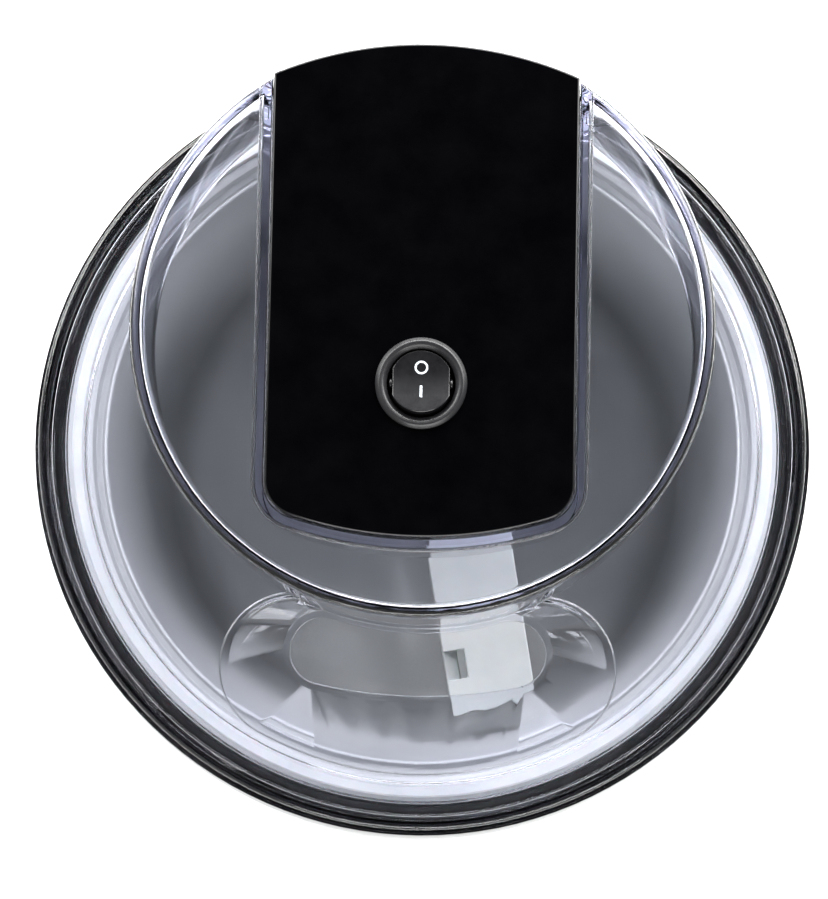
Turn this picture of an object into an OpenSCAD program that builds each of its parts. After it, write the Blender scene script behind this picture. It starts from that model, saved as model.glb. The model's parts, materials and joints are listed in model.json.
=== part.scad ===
// Ice cream maker with a removable freezer bowl, a clear lid and a geared motor unit on top.
// Millimetres, +Z up. The origin is the centre of the ring that the feet stand on.
// The filling hole faces -Y, and the motor unit reaches back to +Y.

/* [Housing] */
// Widest diameter of the black housing
housing_d = 214; // [213:0.5:218]
// Height of the housing's rim above the table
housing_h = 151.5; // [151:0.5:152]
// Wall of the moulded housing
housing_wall = 2.6; // [2.2:0.1:3]
// Height of the rubber feet below the base plate
foot_h = 4; // [3:0.5:5]

/* [Freezer bowl] */
// Inner diameter of the bowl just below its rim
bowl_mouth_d = 171; // [168:0.5:172]
// Inner diameter of the bowl above the floor corner
bowl_floor_d = 158; // [150:1:160]
// Height of the bowl's inner floor above the table
bowl_floor_z = 36; // [34:1:40]
// Sheet thickness of the aluminium liner
liner_t = 1.5; // [1.2:0.1:1.8]

/* [Lid] */
// Outer diameter of the clear lid
lid_d = 206.8; // [206:0.1:207]
// Wall of the clear lid
lid_wall = 2.2; // [2:0.1:2.4]
// Diameter of the clear drum at its top
drum_d = 148; // [146:0.5:149]
// How far the drum sits behind the bowl's axis
drum_y = 25.5; // [25:0.5:27]
// Height of the drum's top face above the table
drum_top_z = 205.5; // [203:0.5:206]
// Half of the filling hole's width
hole_half_w = 34.6; // [32:0.2:35]

/* [Motor unit] */
// Width of the motor unit
unit_w = 77.2; // [75:0.2:77.4]
// Height of the motor unit's top face above the table
unit_top_z = 209; // [208:0.5:211]
// Wall of the motor unit's two shells
unit_wall = 2; // [1.8:0.1:2.4]
// Place of the rocker switch in front of or behind the bowl's axis
switch_y = 9.8; // [9:0.2:11]
// Diameter of the switch's bezel
bezel_d = 23; // [22:0.5:24]

/* [Drive] */
// Tooth module of the last gear stage
module_out = 1; // [1:1:1]
// Tooth module of the middle stage
module_mid = 0.8; // [0.8:0.1:0.8]
// Tooth module of the motor's stage
module_in = 0.7; // [0.7:0.1:0.7]
// Teeth on the output gear
teeth_out = 44; // [44:1:44]
// Teeth on each larger wheel of the two double gears
teeth_wheel = 40; // [40:1:40]
// Teeth on every pinion
teeth_pinion = 12; // [12:1:12]

/* [Paddle] */
// Reach of the paddle's blades from the axis
paddle_r = 76; // [70:1:77]
// Turn of the paddle about the axis at rest
paddle_turn = -80; // [-90:1:-70]

/* [Hidden] */
$fn = 128;
eps = 0.01;

// Housing and base
housing_r = housing_d / 2;
plate_t = 3;
plate_top_z = foot_h + plate_t;
seat_z = 12;
seat_t = 3;
bottom_r = 94;
ledge_z = 143.5;
ledge_r = 93;
web_t = 2.5;
channel_r = 104.2;
collar_in_r = 96.8;
collar_out_r = 99;
collar_top_z = 150.5;
boss_ring_r = 72;
foot_ring_r = 80;
skirt_z = foot_h + 1;
side_low_z = skirt_z + 2;
side_high_z = 132;
base_plate_r = 90;
shoulder_r = 80;
shoulder_a = asin((housing_h - 1.2 - side_high_z) / shoulder_r);
lug_angles = [-154, -26, 26, 154];
lug_arc = 13;
catch_turn = 17;

// Freezer bowl
mouth_r = bowl_mouth_d / 2;
floor_r = bowl_floor_d / 2;
corner_r = 14;
rim_top_z = 149.5;
rim_out_r = 96.2;
shell_t = 1.2;
shell_bottom_z = 20.5;
shell_top_r = 91.2;
shell_bottom_r = 86;
bowl_boss_r = 4;

// Lid
lid_r = lid_d / 2;
plate_low_z = 152;
plate_high_z = 154.4;
lid_rim_z = 158;
lid_rim_in_r = 99.6;
skirt_in_r = 101.2;
skirt_low_z = 145.5;
press_low_z = 151.2;
drum_r = drum_d / 2;
drum_foot_r = drum_r + 1.2;
frame_half_w = 42;
frame_gap = 0.4;
tray_z = 157;
tray_t = 2.2;
pocket_r = 88;
pocket_end_r = 19;
pocket_end = [33.2, -60.6];
pocket_low_z = 147;
hole_end_r = 9;
hole_end = [hole_half_w - hole_end_r, -56.2];
hole_front_y = -67.9;
shaft_hole_r = 10;

// Motor unit
unit_half_w = unit_w / 2;
unit_back_r = 96.2;
unit_low_z = 159.4;
unit_seam_z = 178;
floor_top_z = unit_low_z + 2.2;
front_arc_r = 107;
front_arc_y = 78.5;
front_corner_r = 9;
front_corner = [unit_half_w - front_corner_r,
    front_arc_y - sqrt(pow(front_arc_r - front_corner_r, 2) - pow(unit_half_w - front_corner_r, 2))];
plate_z = 183;
plate_steel_t = 1.5;
post_xy = [[-29, 25], [29, 25], [-29, 80], [29, 80]];
cover_post_xy = [[-32, -8], [32, -8], [-32, 68], [32, 68]];
axle_r = 1.5;
running = 0.05;
boss_low_z = 151.2;
shaft_r = 4;
motor_r = 18;
bar_low_z = 134;
bar_r = 7;

// Gears: pressure angle, play added to each centre distance
pressure = 25;
play = 0.12;
addendum = 0.9;
dist_out = module_out * (teeth_out + teeth_pinion) / 2 + play;
dist_mid = module_mid * (teeth_wheel + teeth_pinion) / 2 + play;
dist_in = module_in * (teeth_wheel + teeth_pinion) / 2 + play;
second_xy = [0, dist_out];
first_aim = 55;
first_xy = second_xy + dist_mid * [cos(first_aim), sin(first_aim)];
motor_xy = [0, first_xy[1] + sqrt(dist_in * dist_in - first_xy[0] * first_xy[0])];
motor_aim = atan2(motor_xy[1] - first_xy[1], motor_xy[0] - first_xy[0]);
gear_low_z = 163.5;

// Rocker switch
bezel_in_r = 8.6;
bezel_low_z = unit_top_z - 2.4;
switch_body_r = 9.9;
rocker_z = unit_top_z - 0.6;

// Cable entry
gland_z = 169;

function arc(c, r, a0, a1, n = 10) =
    [for (i = [0:n]) c + r * [cos(a0 + (a1 - a0) * i / n), sin(a0 + (a1 - a0) * i / n)]];

// Radius of the housing's gently swelling side
function side_r(z) = bottom_r
    + (housing_r - bottom_r) * sin(90 * (z - side_low_z) / (side_high_z - side_low_z));

// Turned solid from an outline of [radius, height] points
module turned(points) {
    rotate_extrude($fn = 128) polygon(points);
}

module ring(r_out, r_in, z0, z1) {
    rotate_extrude($fn = 128) translate([r_in, z0]) square([r_out - r_in, z1 - z0]);
}

// Wedge of a disc between two directions
module sector(r, a0, a1) {
    polygon(concat([[0, 0]], arc([0, 0], r, a0, a1, 6)));
}

module screw(at, head_z, length, head_r = 3, shank_r = 1.5) {
    translate([at[0], at[1], head_z]) difference() {
        union() {
            translate([0, 0, -2]) cylinder(r = head_r, h = 2, $fn = 32);
            translate([0, 0, -length]) cylinder(r = shank_r, h = length - 1, $fn = 32);
        }
        for (a = [0, 90]) rotate(a) translate([-1.8, -0.35, -1]) cube([3.6, 0.7, 2]);
    }
}

// ---------------------------------------------------------------- housing

module housing_profile() {
    outer = concat(
        [[bottom_r - 1.6, skirt_z]],
        [for (i = [0:11]) let (z = side_low_z + (side_high_z - side_low_z) * i / 12) [side_r(z), z]],
        arc([housing_r - shoulder_r, side_high_z], shoulder_r, 0, shoulder_a, 8),
        arc([channel_r + 0.6, housing_h - 0.6], 0.6, 30, 180, 5));
    rim = [[channel_r, ledge_z], [collar_out_r, ledge_z], [collar_out_r, collar_top_z],
        [collar_in_r, collar_top_z], [collar_in_r, ledge_z], [ledge_r, ledge_z], [ledge_r, ledge_z - web_t],
        [housing_r - 4, ledge_z - web_t]];
    inner = [for (i = [11:-1:1]) let (z = side_low_z + (side_high_z - side_low_z) * i / 12)
        [side_r(z) - housing_wall, z]];
    floor = [[bottom_r - housing_wall + 0.6, seat_z + seat_t], [0, seat_z + seat_t], [0, seat_z],
        [base_plate_r + 0.4, seat_z], [base_plate_r + 0.4, skirt_z]];
    polygon(concat(outer, rim, inner, floor));
}

module housing() {
    color("#101114") difference() {
        union() {
            rotate_extrude($fn = 160) housing_profile();
            // Seat that centres the bowl's foot
            ring(64, 61, seat_z + seat_t - eps, shell_bottom_z - 0.5);
            for (a = [45:90:315]) rotate(a) translate([boss_ring_r, 0, plate_top_z])
                cylinder(r = 4.5, h = seat_z - plate_top_z + eps, $fn = 48);
            // Catches that the lid's lugs turn under
            for (a = lug_angles) catch(a + catch_turn);
        }
        for (a = [45:90:315]) rotate(a) translate([boss_ring_r, 0, plate_top_z - eps])
            cylinder(r = 1.5, h = 8, $fn = 32);
    }
}

module catch(a) {
    translate([0, 0, 148.2]) linear_extrude(2.3) intersection() {
        difference() {
            circle(r = 101);
            circle(r = collar_out_r - 0.3);
        }
        sector(140, a - lug_arc / 2, a + lug_arc / 2);
    }
}

module base_plate() {
    color("#17181b") difference() {
        union() {
            turned([[0, foot_h], [base_plate_r - 1, foot_h], [base_plate_r, foot_h + 1],
                [base_plate_r, plate_top_z], [0, plate_top_z]]);
            for (r = [30, 50]) ring(r + 1, r - 1, plate_top_z - eps, plate_top_z + 3);
        }
        for (a = [45:90:315]) rotate(a) translate([boss_ring_r, 0, foot_h - eps]) {
            cylinder(r = 3.3, h = 2.2, $fn = 48);
            cylinder(r = 1.7, h = 10, $fn = 48);
        }
        for (a = [0:90:270]) rotate(a) translate([foot_ring_r, 0, foot_h - eps])
            cylinder(r = 3, h = 10, $fn = 48);
        // Vent slots
        for (a = [0:60:300]) rotate(a) translate([12, -1.2, foot_h - 1]) cube([10, 2.4, 10]);
    }
}

module feet() {
    color("#1b1b1c") for (a = [0:90:270]) rotate(a) translate([foot_ring_r, 0, 0]) {
        turned([[0, 0], [6.6, 0], [7.6, 1], [8, foot_h], [0, foot_h]]);
        translate([0, 0, foot_h - eps]) cylinder(r = 2.9, h = plate_t + 1, $fn = 48);
        translate([0, 0, plate_top_z]) turned([[0, 0], [3.8, 0], [2.6, 2.4], [0, 2.4]]);
    }
}

module base_screws() {
    color("#b8babd") for (a = [45:90:315]) rotate([180, 0, a])
        translate([boss_ring_r, 0, -foot_h]) screw([0, 0], 0, 9.5);
}

// ---------------------------------------------------------------- freezer bowl

module bowl_liner() {
    inner = concat(
        [[0, bowl_floor_z]],
        arc([floor_r - corner_r, bowl_floor_z + corner_r], corner_r, -90, 0, 12),
        [[mouth_r, 144.6], [mouth_r + 0.5, 146.2], [mouth_r + 1.2, 146.4], [mouth_r + 1.9, 145.2]],
        [[mouth_r + 3.7, 145.2], [mouth_r + 4.1, 148.6], [mouth_r + 4.9, 149.1]],
        [[mouth_r + 5.6, rim_top_z], [rim_out_r - 1, rim_top_z], [rim_out_r, rim_top_z - 1]]);
    outer = concat(
        [[rim_out_r, ledge_z], [rim_out_r - 1.2, ledge_z], [rim_out_r - 1.2, rim_top_z - liner_t]],
        [[mouth_r + 4.3, rim_top_z - liner_t], [mouth_r + 4.3, 143.6], [mouth_r + liner_t, 143.6]],
        [[floor_r + liner_t, bowl_floor_z + corner_r]],
        arc([floor_r - corner_r, bowl_floor_z + corner_r], corner_r + liner_t, 0, -90, 12),
        [[0, bowl_floor_z - liner_t]]);
    color("#c9cccf") union() {
        turned(concat(inner, outer));
        translate([0, 0, bowl_floor_z - eps]) turned([[0, 0], [bowl_boss_r + 3, 0], [bowl_boss_r + 1, 2],
            [bowl_boss_r, 2.4], [bowl_boss_r, 7], [bowl_boss_r - 1, 8], [0, 8]]);
    }
}

module bowl_shell() {
    color("#bfc3c7") difference() {
        turned([[0, shell_bottom_z], [shell_bottom_r - 8, shell_bottom_z],
            [shell_bottom_r - 2.3, shell_bottom_z + 2.3], [shell_bottom_r, shell_bottom_z + 8],
            [shell_top_r, 141], [shell_top_r, 144.8], [94.8, 144.8], [94.8, 146],
            [shell_top_r - shell_t, 146], [shell_top_r - shell_t, 141],
            [shell_bottom_r - shell_t, shell_bottom_z + 8.4],
            [shell_bottom_r - 3.2, shell_bottom_z + 3.2],
            [shell_bottom_r - 8.4, shell_bottom_z + shell_t], [0, shell_bottom_z + shell_t]]);
        translate([40, 0, shell_bottom_z - 1]) cylinder(r = 4, h = 4, $fn = 48);
    }
}

// Refrigerant gel sealed between the bowl's two walls, with room left to expand as it freezes
module bowl_coolant() {
    gap = 0.3;
    color("#7fb6d9") turned(concat(
        [[0, shell_bottom_z + shell_t + gap + 2], [shell_bottom_r - 9, shell_bottom_z + shell_t + gap + 2],
         [shell_bottom_r - shell_t - 1.4, shell_bottom_z + 11], [shell_top_r - shell_t - gap - 0.4, 132],
         [mouth_r + liner_t - 0.2, 132], [floor_r + liner_t + gap, bowl_floor_z + corner_r]],
        arc([floor_r - corner_r, bowl_floor_z + corner_r], corner_r + liner_t + gap, 0, -90, 10),
        [[0, bowl_floor_z - liner_t - gap]]));
}

module bowl_gasket() {
    color("#2a2b2d") ring(94.8, shell_top_r - shell_t, 146, rim_top_z - liner_t);
}

module bowl_fill_plug() {
    color("#d9dcdf") translate([40, 0, shell_bottom_z - 0.2]) {
        cylinder(r = 4, h = shell_t + 0.8, $fn = 48);
        translate([0, 0, shell_t + 0.2]) cylinder(r = 5.5, h = 1.2, $fn = 48);
    }
}

// ---------------------------------------------------------------- lid

module rim_seal() {
    color("#dfe3e6") turned([[91.8, rim_top_z], [95, rim_top_z], [95, press_low_z - 0.5],
        [94.5, press_low_z], [92.3, press_low_z], [91.8, press_low_z - 0.5]]);
}

// Oval surround of the filling hole: two round ends joined by an arc about the lid's axis
module pocket_shape(grow = 0) {
    end_angle = atan2(pocket_end[1], pocket_end[0]);
    for (s = [-1, 1]) translate([s * pocket_end[0], pocket_end[1]]) circle(r = pocket_end_r + grow);
    intersection() {
        circle(r = pocket_r + grow);
        difference() {
            sector(140, -180 - end_angle, end_angle);
            circle(r = 50);
        }
    }
}

// Bean-shaped hole: its back edge runs parallel to the drum's wall
module hole_shape(grow = 0) {
    drum_dir = [hole_end[0], hole_end[1] - drum_y];
    back_r = norm(drum_dir) - hole_end_r;
    rise = hole_end[1] - hole_front_y;
    front_r = (pow(hole_end[0], 2) + pow(rise, 2) - pow(hole_end_r, 2)) / (2 * (rise - hole_end_r));
    a = atan2(drum_dir[1], drum_dir[0]);
    for (s = [-1, 1]) translate([s * hole_end[0], hole_end[1]]) circle(r = hole_end_r + grow);
    intersection() {
        translate([0, hole_front_y + front_r]) circle(r = front_r + grow, $fn = 256);
        translate([0, drum_y]) difference() {
            sector(140, -180 - a, a);
            circle(r = back_r - grow);
        }
        translate([-hole_end[0] - 3, -90]) square([2 * hole_end[0] + 6, 60]);
    }
}

// Plan of the motor unit, drawn smaller by inset and running out to the back
function unit_outline(inset) = let (
    w = unit_half_w - inset, r = front_corner_r - inset,
    a = atan2(front_corner[1] - front_arc_y, front_corner[0]))
    concat(
        [[-w, 140], [w, 140]],
        arc(front_corner, r, 0, a, 10),
        arc([0, front_arc_y], front_arc_r - inset, a - 1.5, -178.5 - a, 22),
        arc([-front_corner[0], front_corner[1]], r, -180 - a, -180, 10));

module unit_shape(inset = 0) {
    intersection() {
        circle(r = unit_back_r - inset, $fn = 256);
        polygon(unit_outline(inset));
    }
}

// The cradle is the same plan grown outward, and it runs out through the drum's back
module cradle_shape(grow) {
    polygon(unit_outline(-grow));
}

module drum_solid(shrink, top_z) {
    translate([0, drum_y, 0]) turned([[0, 140], [drum_foot_r - shrink, 140],
        [drum_foot_r - shrink, plate_high_z], [drum_r - shrink, top_z - 2],
        [drum_r - shrink - 0.6, top_z - 0.6], [drum_r - shrink - 2, top_z], [0, top_z]]);
}

// Flat plate, stepped rim, skirt and bayonet lugs
module lid_plate() {
    turned([[0, plate_low_z], [91, plate_low_z], [91.6, press_low_z], [96, press_low_z],
        [96.4, plate_low_z], [skirt_in_r, plate_low_z + 2], [skirt_in_r, skirt_low_z],
        [lid_r, skirt_low_z], [lid_r, lid_rim_z - 0.8], [lid_r - 0.8, lid_rim_z],
        [lid_rim_in_r + 1.2, lid_rim_z], [lid_rim_in_r, plate_high_z], [0, plate_high_z]]);
    for (a = lug_angles) translate([0, 0, skirt_low_z]) linear_extrude(2.2) intersection() {
        difference() {
            circle(r = skirt_in_r + 0.4);
            circle(r = 99.5);
        }
        sector(140, a - lug_arc / 2, a + lug_arc / 2);
    }
}

// Surround of the filling hole: a raised bead round a floor that slopes to the hole
module spout_walls() {
    translate([0, 0, plate_low_z]) linear_extrude(4.4) pocket_shape(0.8);
    hull() {
        translate([0, 0, plate_low_z]) linear_extrude(eps) pocket_shape(0, $fn = 80);
        translate([0, 0, pocket_low_z - 1.5]) linear_extrude(eps) hole_shape(3, $fn = 80);
    }
}

module spout_hollow() {
    hull() {
        translate([0, 0, plate_high_z + 2.5]) linear_extrude(eps) pocket_shape(-0.8, $fn = 80);
        translate([0, 0, pocket_low_z + 0.6]) linear_extrude(eps) hole_shape(2, $fn = 80);
    }
    translate([0, 0, 140]) linear_extrude(14) hole_shape();
}

// Drum wall and top, with the walls of the motor unit's cradle hanging from the top
module drum(cradle_wall) {
    difference() {
        intersection() {
            drum_solid(0, drum_top_z);
            translate([0, 0, plate_low_z]) cylinder(r = 101, h = 60);
        }
        difference() {
            drum_solid(lid_wall, drum_top_z - lid_wall);
            translate([0, 0, tray_z - 30]) linear_extrude(90) cradle_shape(cradle_wall);
        }
        translate([0, 0, 130]) linear_extrude(tray_z - 130) cradle_shape(cradle_wall);
    }
    // The wall runs lower behind the filling hole
    translate([0, drum_y, pocket_low_z - 1.5]) linear_extrude(plate_high_z - pocket_low_z) intersection() {
        difference() {
            circle(r = drum_foot_r);
            circle(r = drum_foot_r - lid_wall);
        }
        sector(140, -116, -64);
    }
}

module lid() {
    cradle_wall = frame_gap + lid_wall;
    color("#cfd8ea", 0.35) difference() {
        union() {
            difference() {
                union() {
                    lid_plate();
                    spout_walls();
                }
                spout_hollow();
                intersection() {
                    drum_solid(lid_wall / 2, 300);
                    translate([0, 0, 130]) linear_extrude(60) difference() {
                        circle(r = 97);
                        translate([-frame_half_w, 80]) square([2 * frame_half_w, 40]);
                    }
                }
            }
            drum(cradle_wall);
            // Tray floor under the motor unit, joined to the plate behind the drum
            translate([0, 0, tray_z]) linear_extrude(tray_t) intersection() {
                cradle_shape(cradle_wall);
                circle(r = 99);
            }
            translate([0, 0, plate_high_z - 0.5]) linear_extrude(tray_z - plate_high_z + 1) intersection() {
                translate([-frame_half_w + 2, 84]) square([2 * frame_half_w - 4, 3]);
                circle(r = 98);
            }
            // Frame strip round the cradle's mouth
            translate([0, 0, drum_top_z - 1.7]) linear_extrude(2.3) intersection() {
                cradle_shape(frame_half_w - unit_half_w);
                translate([0, drum_y]) circle(r = drum_r - 1);
            }
            // Collar round the shaft's hole
            translate([0, 0, tray_z - 3]) cylinder(r = shaft_hole_r + 2, h = 4, $fn = 64);
        }
        // Space for the motor unit, open at the top and the back
        translate([0, 0, tray_z + tray_t]) linear_extrude(80) cradle_shape(frame_gap);
        translate([0, 0, tray_z - 10]) cylinder(r = shaft_hole_r, h = 20, $fn = 64);
    }
}

// ---------------------------------------------------------------- motor unit shells

module motor_cover() {
    color("#0d0e11") difference() {
        union() {
            difference() {
                union() {
                    translate([0, 0, unit_seam_z])
                        linear_extrude(unit_top_z - 1 - unit_seam_z) unit_shape();
                    translate([0, 0, unit_top_z - 1 - eps]) linear_extrude(0.6 + eps) unit_shape(0.3);
                    translate([0, 0, unit_top_z - 0.4 - eps]) linear_extrude(0.4 + eps) unit_shape(0.8);
                }
                translate([0, 0, unit_seam_z - eps])
                    linear_extrude(unit_top_z - unit_seam_z - 2.2) unit_shape(unit_wall);
            }
            for (p = cover_post_xy) translate([p[0], p[1], unit_seam_z])
                cylinder(r = 3.4, h = unit_top_z - unit_seam_z - 2, $fn = 48);
        }
        translate([0, switch_y, unit_top_z - 4]) cylinder(r = 10.1, h = 8);
        for (p = cover_post_xy) translate([p[0], p[1], unit_seam_z - 1])
            cylinder(r = 1.4, h = 14, $fn = 32);
    }
}

module motor_chassis() {
    color("#141518") difference() {
        union() {
            difference() {
                translate([0, 0, unit_low_z]) linear_extrude(unit_seam_z - unit_low_z) unit_shape();
                translate([0, 0, floor_top_z]) linear_extrude(40) unit_shape(unit_wall);
            }
            for (p = post_xy) translate([p[0], p[1], unit_low_z + 1])
                cylinder(r = 3.4, h = plate_z - unit_low_z - 1, $fn = 48);
            for (p = cover_post_xy) translate([p[0], p[1], unit_low_z + 1])
                cylinder(r = 3.6, h = unit_seam_z - unit_low_z - 1, $fn = 48);
            for (p = [second_xy, first_xy]) translate([p[0], p[1], unit_low_z + 1])
                cylinder(r = 4, h = 2.4, $fn = 48);
            // Bearing boss that reaches down through the lid
            translate([0, 0, boss_low_z]) cylinder(r = 8.5, h = 163 - boss_low_z, $fn = 64);
        }
        translate([0, 0, 150]) cylinder(r = 6, h = 20, $fn = 64);
        for (p = post_xy) translate([p[0], p[1], plate_z - 9]) cylinder(r = 1.5, h = 10, $fn = 32);
        for (p = cover_post_xy) translate([p[0], p[1], unit_low_z - 1]) {
            cylinder(r = 1.7, h = 30, $fn = 32);
            cylinder(r = 3.1, h = 5, $fn = 48);
        }
        for (p = [second_xy, first_xy]) translate([p[0], p[1], unit_low_z + 0.8])
            cylinder(r = axle_r, h = 8, $fn = 32);
        translate([0, 80, gland_z]) rotate([-90, 0, 0]) cylinder(r = 5.5, h = 30, $fn = 64);
    }
}

module gear_plate() {
    color("#b5b8bb") difference() {
        translate([0, 0, plate_z]) linear_extrude(plate_steel_t) difference() {
            intersection() {
                unit_shape(3);
                translate([-32.5, 21.5]) square([65, 63]);
            }
            for (p = cover_post_xy) translate(p) circle(r = 4.4, $fn = 48);
        }
        for (p = post_xy) translate([p[0], p[1], plate_z - 1]) cylinder(r = 1.7, h = 4, $fn = 32);
        for (p = [second_xy, first_xy]) translate([p[0], p[1], plate_z - 1])
            cylinder(r = axle_r, h = 4, $fn = 32);
        translate([motor_xy[0], motor_xy[1], plate_z - 1]) cylinder(r = 5, h = 4, $fn = 48);
        for (s = [-1, 1]) translate([motor_xy[0] + s * 12, motor_xy[1], plate_z - 1])
            cylinder(r = 1.7, h = 4, $fn = 32);
    }
}

module plate_screws() {
    color("#9ea1a4") for (p = post_xy) screw(p, plate_z + plate_steel_t + 2, 9.5);
}

module cover_screws() {
    color("#9ea1a4") for (p = cover_post_xy) translate([p[0], p[1], unit_low_z + 2]) mirror([0, 0, 1])
        screw([0, 0], 0, 26, 2.9, 1.4);
}

module shaft_bush() {
    color("#b3874a") {
        ring(6, shaft_r + running, boss_low_z + 0.2, 163.2);
        ring(7.5, shaft_r + running, 163, 163.4);
    }
}

module gear_axles() {
    color("#8d9094") for (p = [second_xy, first_xy]) translate([p[0], p[1], unit_low_z + 0.8])
        cylinder(r = axle_r, h = plate_z + plate_steel_t - unit_low_z - 0.8, $fn = 32);
}

// ---------------------------------------------------------------- gears

function involute_turn(rb, r) = sqrt(pow(r / rb, 2) - 1) * 180 / PI - acos(rb / r);

// One flank, from root to tip, as [radius, half angle] steps
function flank(m, z) = let (
    rp = m * z / 2, rb = rp * cos(pressure), ra = rp + addendum * m, rr = rp - 1.2 * m,
    half = 90 / z - 0.02 * 180 / PI / rp * 1.5,
    at_pitch = involute_turn(rb, rp), start = max(rb, rr))
    concat(
        rr < rb ? [[rr, half + at_pitch]] : [],
        [for (i = [0:3]) let (r = start + (ra - start) * i / 3)
            [r, half + at_pitch - involute_turn(rb, r)]]);

function tooth(m, z, centre) = let (f = flank(m, z), n = len(f) - 1) concat(
    [for (p = f) p[0] * [cos(centre - p[1]), sin(centre - p[1])]],
    [for (i = [n:-1:0]) f[i][0] * [cos(centre + f[i][1]), sin(centre + f[i][1])]]);

// Spur gear with a tooth centred on the direction aim
module spur(m, z, thick, aim) {
    linear_extrude(thick) polygon([for (i = [0:z - 1], p = tooth(m, z, aim + i * 360 / z)) p]);
}

module output_gear() {
    color("#e6e3d8") difference() {
        union() {
            translate([0, 0, gear_low_z]) spur(module_out, teeth_out, 5, 90);
            translate([0, 0, gear_low_z]) cylinder(r = 8, h = 7, $fn = 64);
        }
        translate([0, 0, gear_low_z - 1]) cylinder(r = shaft_r + 0.03, h = 20, $fn = 48);
        for (a = [0:60:300]) rotate(a) translate([14, 0, gear_low_z - 1])
            cylinder(r = 3.4, h = 20, $fn = 48);
    }
}

module second_gear() {
    color("#e6e3d8") translate([second_xy[0], second_xy[1], 0]) difference() {
        union() {
            translate([0, 0, gear_low_z]) spur(module_out, teeth_pinion, 8, -90 + 180 / teeth_pinion);
            translate([0, 0, 171.2]) spur(module_mid, teeth_wheel, 4.2, first_aim);
        }
        translate([0, 0, 160]) cylinder(r = axle_r + running, h = 30, $fn = 48);
    }
}

module first_gear() {
    color("#e6e3d8") translate([first_xy[0], first_xy[1], 0]) difference() {
        union() {
            translate([0, 0, 170.9])
                spur(module_mid, teeth_pinion, 6.7, first_aim + 180 + 180 / teeth_pinion);
            translate([0, 0, 177.3]) spur(module_in, teeth_wheel, 3.5, motor_aim);
            translate([0, 0, 163.6]) cylinder(r = 2.8, h = 8, $fn = 48);
        }
        translate([0, 0, 160]) cylinder(r = axle_r + running, h = 30, $fn = 48);
    }
}

module motor_pinion() {
    color("#c9a24f") translate([motor_xy[0], motor_xy[1], 0]) difference() {
        translate([0, 0, 177]) spur(module_in, teeth_pinion, 5, motor_aim + 180 + 180 / teeth_pinion);
        translate([0, 0, 170]) cylinder(r = 1, h = 20, $fn = 32);
    }
}

// The cross bar drives the paddle's dogs with free play, so the lid can be set down at any angle
module drive_shaft() {
    color("#a9acb0") difference() {
        union() {
            translate([0, 0, bar_low_z]) cylinder(r = shaft_r, h = 172 - bar_low_z, $fn = 48);
            rotate(paddle_turn) intersection() {
                translate([-10, -1.5, bar_low_z + 0.5]) cube([20, 3, 9]);
                translate([0, 0, bar_low_z - 1]) cylinder(r = bar_r, h = 20, $fn = 48);
            }
        }
        ring(10, shaft_r - 0.5, 150.2, 151.1);
    }
}

module shaft_circlip() {
    color("#5b5e62") difference() {
        ring(6.2, shaft_r - 0.45, 150.25, 151.05);
        translate([0, -1.2, 149]) cube([10, 2.4, 4]);
    }
}

// ---------------------------------------------------------------- motor

module motor_can() {
    color("#9fa3a8") translate([motor_xy[0], motor_xy[1], 0]) difference() {
        union() {
            translate([0, 0, plate_z + plate_steel_t]) cylinder(r = motor_r, h = 17, $fn = 96);
            translate([0, 0, plate_z - 0.4]) cylinder(r = 4.8, h = 3, $fn = 48);
        }
        translate([0, 0, plate_z + plate_steel_t + 1.2]) cylinder(r = motor_r - 1.2, h = 20, $fn = 96);
        translate([0, 0, 180]) cylinder(r = 1 + running, h = 10, $fn = 32);
        for (s = [-1, 1]) translate([s * 12, 0, 180]) cylinder(r = 1.4, h = 10, $fn = 32);
    }
}

module motor_end_cap() {
    color("#26282b") translate([motor_xy[0], motor_xy[1], plate_z + plate_steel_t + 17]) difference() {
        union() {
            cylinder(r = motor_r, h = 2, $fn = 96);
            translate([0, 0, -2]) cylinder(r = motor_r - 1.25, h = 2 + eps, $fn = 96);
            for (s = [-1, 1]) translate([s * 9 - 1.5, 10, 1.9]) cube([3, 0.8, 2.2]);
        }
        translate([0, 0, -3]) cylinder(r = 1 + running, h = 3.4, $fn = 32);
    }
}

module motor_screws() {
    color("#9ea1a4") for (s = [-1, 1]) translate([motor_xy[0] + s * 12, motor_xy[1], plate_z - 2])
        mirror([0, 0, 1]) screw([0, 0], 0, 5.5, 2.8, 1.4);
}

module motor_rotor() {
    color("#8c5a35") translate([motor_xy[0], motor_xy[1], 0]) {
        translate([0, 0, 177]) cylinder(r = 1, h = 24.6, $fn = 32);
        translate([0, 0, 188]) cylinder(r = 5.5, h = 9, $fn = 48);
    }
}

// ---------------------------------------------------------------- paddle

// One blade: an arm, an outer scraper and a foot, all set to one side of the hub
module blade() {
    difference() {
        union() {
            translate([4, -12, 117]) cube([paddle_r, 24, 4]);
            translate([4, -12, 30]) cube([paddle_r, 4, 90]);
            translate([paddle_r - 26, -12, 58]) cube([30, 22, 4]);
        }
        // Cut-outs that let the mix flow through
        translate([20, -14, 66]) cube([26, 8, 38]);
        translate([20, -14, 46]) cube([26, 8, 10]);
        translate([paddle_r - 20, -20, 116]) cube([8, 14, 6]);
        translate([paddle_r - 22, -14, 72]) cube([10, 8, 12]);
        translate([paddle_r - 22, -14, 92]) cube([10, 8, 12]);
    }
}

// Space that the blades sweep, a scraper's gap inside the liner
module swept_space() {
    turned(concat([[0, bowl_floor_z + 3.5]],
        arc([floor_r - corner_r, bowl_floor_z + corner_r], corner_r - 3, -80, 0, 8),
        [[paddle_r, 122], [0, 122]]));
}

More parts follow.
